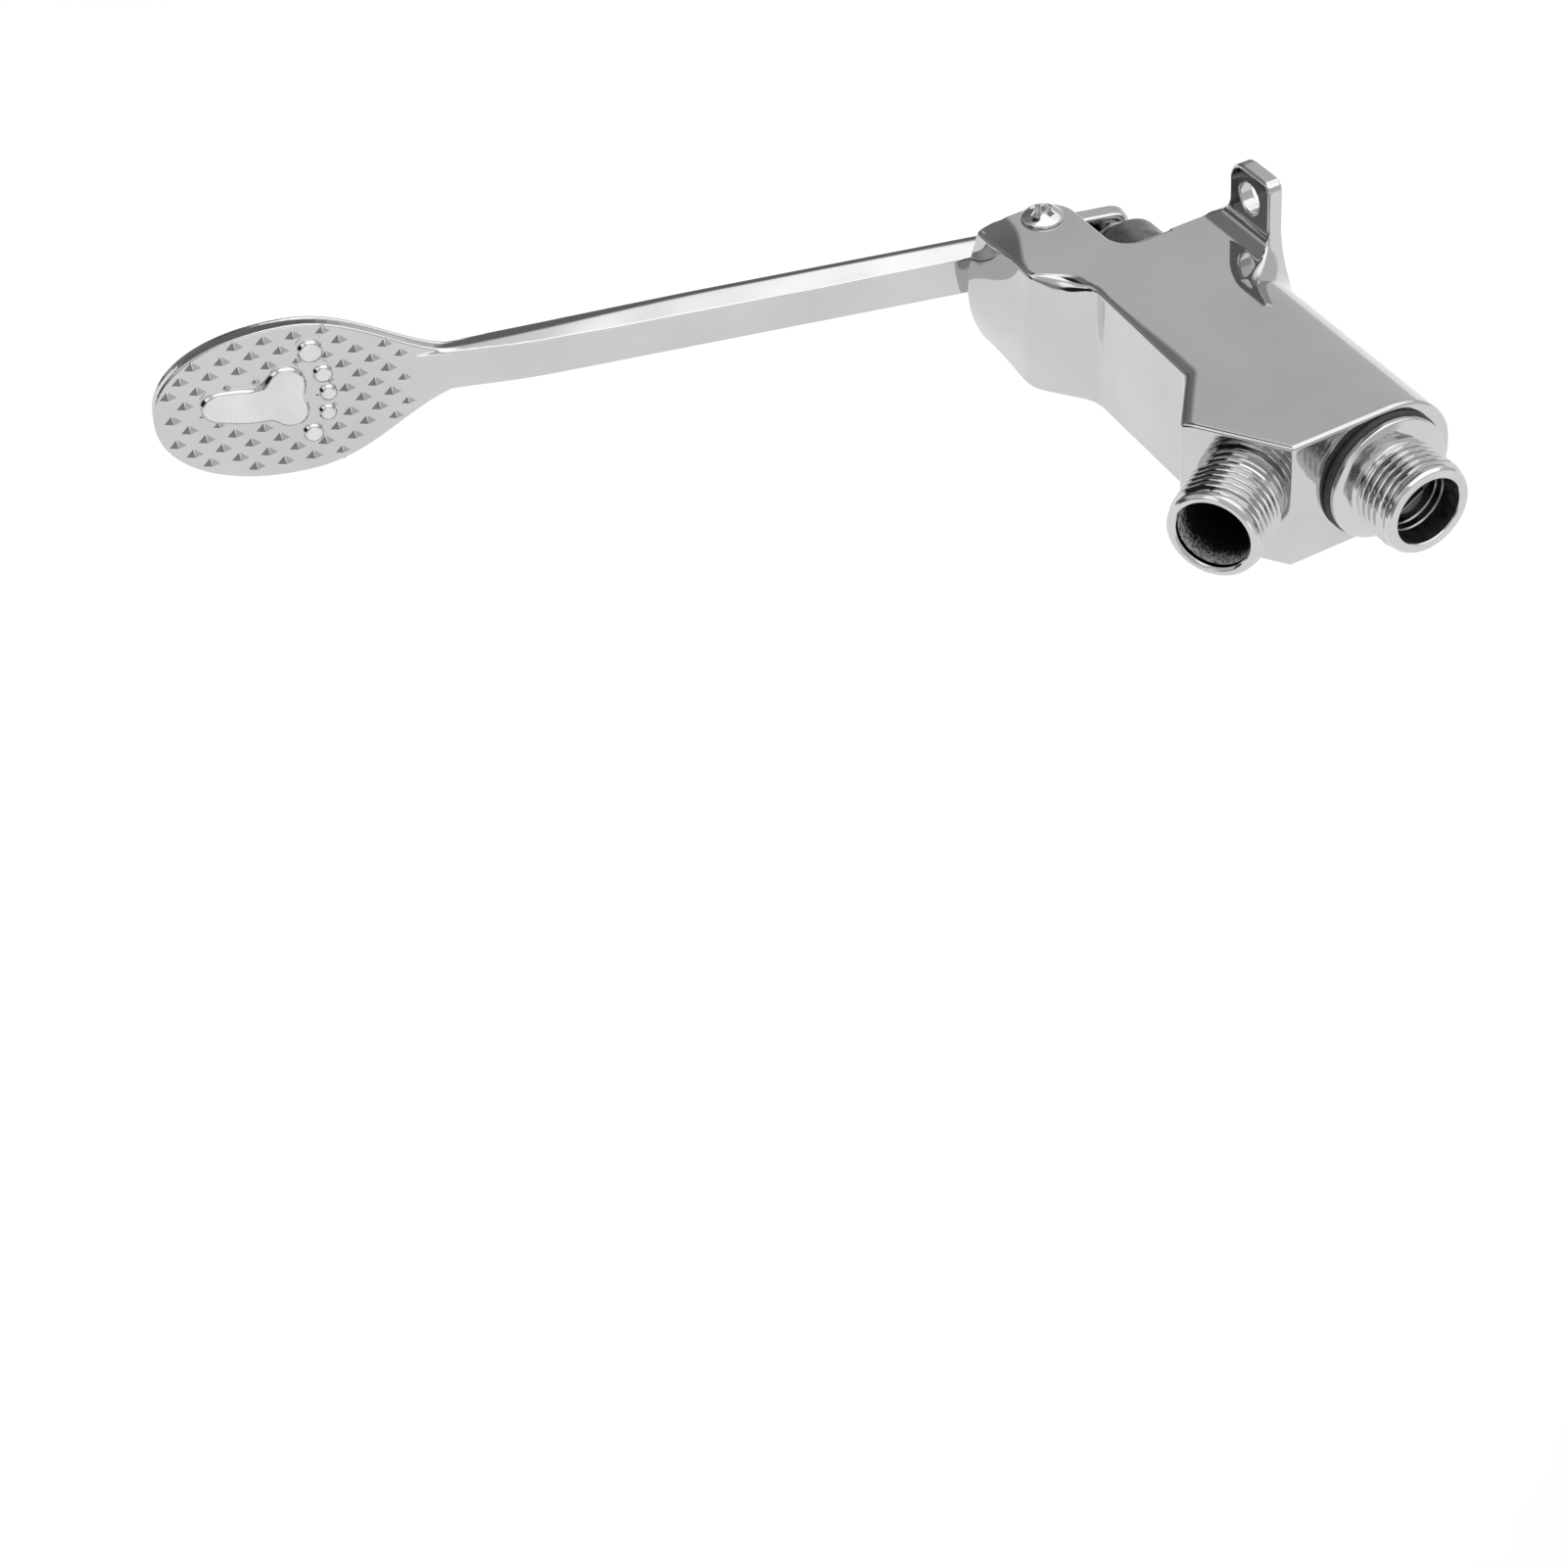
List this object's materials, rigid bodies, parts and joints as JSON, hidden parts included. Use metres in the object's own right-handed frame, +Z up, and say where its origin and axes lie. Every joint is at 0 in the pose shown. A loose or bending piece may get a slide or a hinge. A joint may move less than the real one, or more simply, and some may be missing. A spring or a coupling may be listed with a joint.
{
  "type": "foot pedal tap valve",
  "caption": "Chrome foot pedal valve for a wall: a hinged lever with an oval treaded pad lifts a sprung plunger and opens the way from the threaded inlet to the slanted outlet.",
  "frame": {"origin": "on the wall plane, midway between the two wall screw holes", "axes": "+X points out of the wall along the way the pedal reaches, +Y runs along the row of wall screw holes, +Z points up towards the inlet"},
  "size_m": [0.221, 0.0612, 0.1796],
  "materials": {
    "chrome_casting": "polished chrome plate on a casting",
    "chrome_turned": "bright chrome plate on a turned part",
    "black_rubber": "matt black rubber",
    "dull_nickel": "dull nickel plate",
    "bright_steel": "bright zinc-plated steel",
    "spring_steel": "bright drawn wire",
    "dark_spring_steel": "black spring steel",
    "plain_brass": "turned brass"
  },
  "bodies": {
    "valve": {"valve_body": "chrome_casting", "inlet_adapter": "chrome_turned", "inlet_o_ring": "black_rubber", "valve_seat": "plain_brass", "gland_nut": "dull_nickel", "gland_o_ring": "black_rubber", "gland_wiper": "black_rubber", "retaining_ring": "dark_spring_steel", "pivot_screw": "bright_steel", "pivot_sleeve": "plain_brass", "return_spring": "spring_steel"},
    "plunger": {"plunger_stem": "dull_nickel", "lower_plunger_ring": "black_rubber", "upper_plunger_ring": "black_rubber", "poppet_disc": "plain_brass", "poppet_seal": "black_rubber", "poppet_washer": "bright_steel", "poppet_nut": "plain_brass", "push_tip": "bright_steel"},
    "lever": {"pedal_lever": "chrome_casting"}
  },
  "joints": [
    {"name": "pedal_hinge", "type": "hinge", "parent": "valve", "child": "lever", "pos_m": [0.0358, 0, -0.0307], "axis": [0, 1, 0], "range_deg": [0, 11.5], "stiffness_Nm_per_rad": 0.7, "springref_deg": -25.78},
    {"name": "plunger_slide", "type": "slide", "parent": "valve", "child": "plunger", "axis": [0, 0, 1], "range_m": [0, 0.0042], "deforming": ["return_spring"]}
  ],
  "couplings": [
    {"joint": "plunger_slide", "follows": "pedal_hinge", "m_per_rad": 0.0209}
  ]
}
